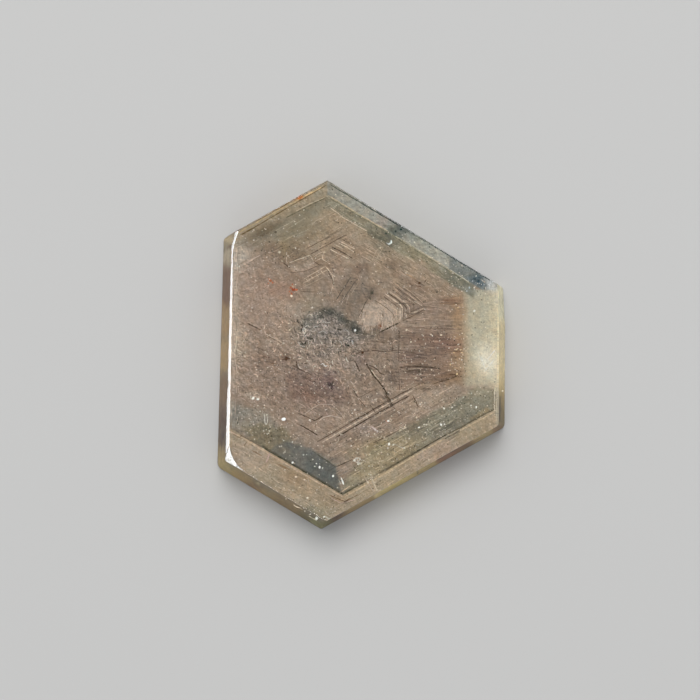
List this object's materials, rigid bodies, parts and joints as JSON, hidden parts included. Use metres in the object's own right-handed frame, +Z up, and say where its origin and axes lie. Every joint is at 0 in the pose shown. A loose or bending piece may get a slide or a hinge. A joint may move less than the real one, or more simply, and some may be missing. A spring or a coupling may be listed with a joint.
{
  "type": "sapphire slice",
  "caption": "Flat polished six-sided slice of zoned brown and grey-green natural sapphire, with rounded rim and slightly flared walls; lies flat on its underside.",
  "frame": {"origin": "centre of the slice's bounding box, on the plane of its flat underside", "axes": "+Z up through the slice's thickness, +Y toward its top corner along its longest extent, +X toward its straight right side"},
  "size_m": [0.02, 0.0242, 0.0028],
  "materials": {
    "sapphire": "polished, glassy, partly see-through, with brown, grey-green and blue-grey growth zones"
  },
  "bodies": {
    "root": {"sapphire_slice": "sapphire"}
  },
  "joints": []
}
